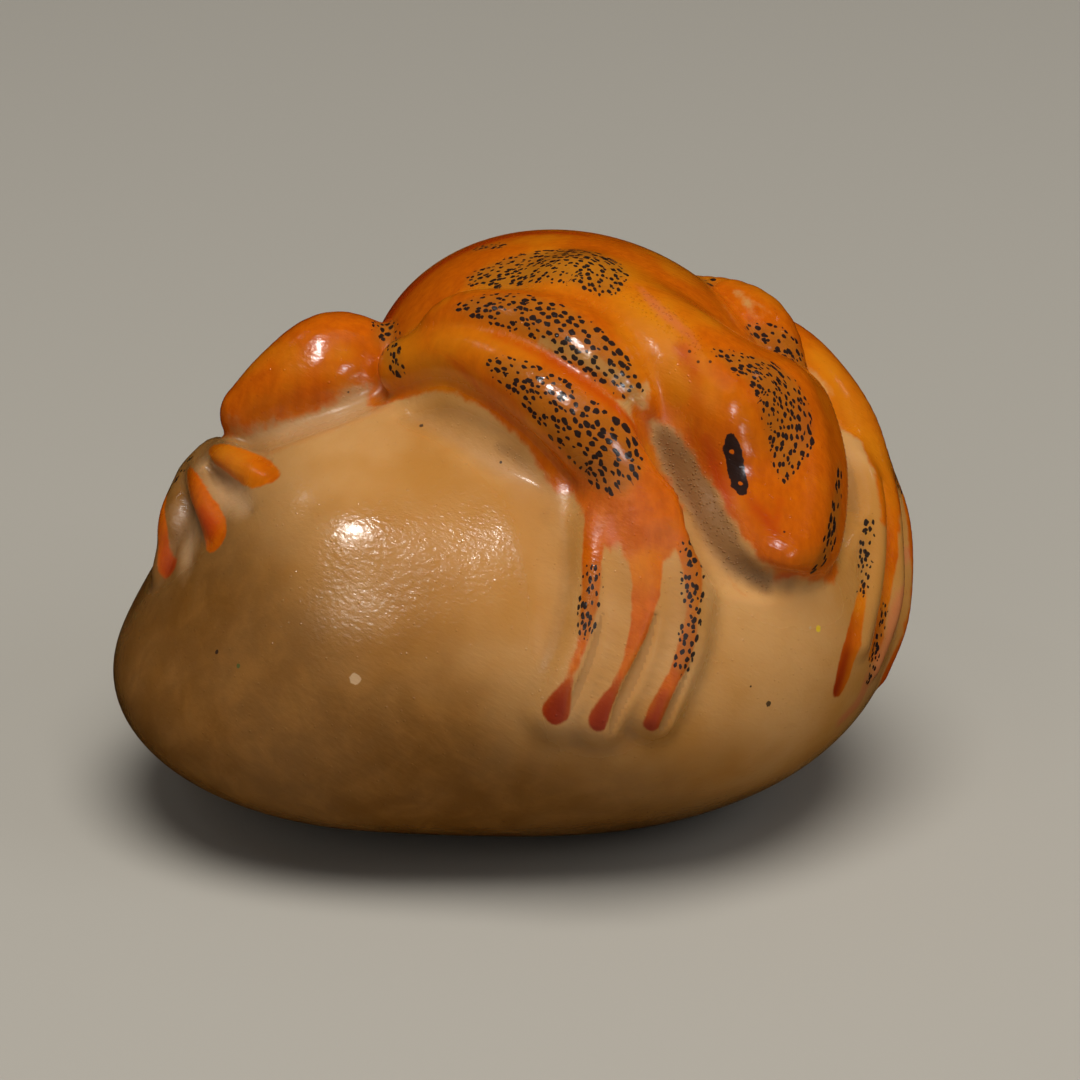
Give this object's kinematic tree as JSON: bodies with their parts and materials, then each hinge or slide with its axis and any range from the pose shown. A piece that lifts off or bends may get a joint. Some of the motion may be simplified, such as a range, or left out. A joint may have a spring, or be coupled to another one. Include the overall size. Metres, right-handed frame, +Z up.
{
  "type": "carved nut figurine",
  "caption": "Tagua nut carved as a frog clinging over it: domed back, wedge head, folded arms with long fingers and spread hind feet, painted orange with ink dots on polished ivory.",
  "frame": {"origin": "centre of the bounding box's base, on the small flat spot the nut rests on", "axes": "+X along the nut's longest side, towards the end the frog's head is at; +Y towards the back, away from the frog's face; +Z up"},
  "size_m": [0.0488, 0.0396, 0.0361],
  "materials": {
    "painted_tagua": "polished ivory nut, the frog painted translucent orange with black pen dots, clear gloss"
  },
  "bodies": {
    "root": {"frog_carving": "painted_tagua"}
  },
  "joints": []
}
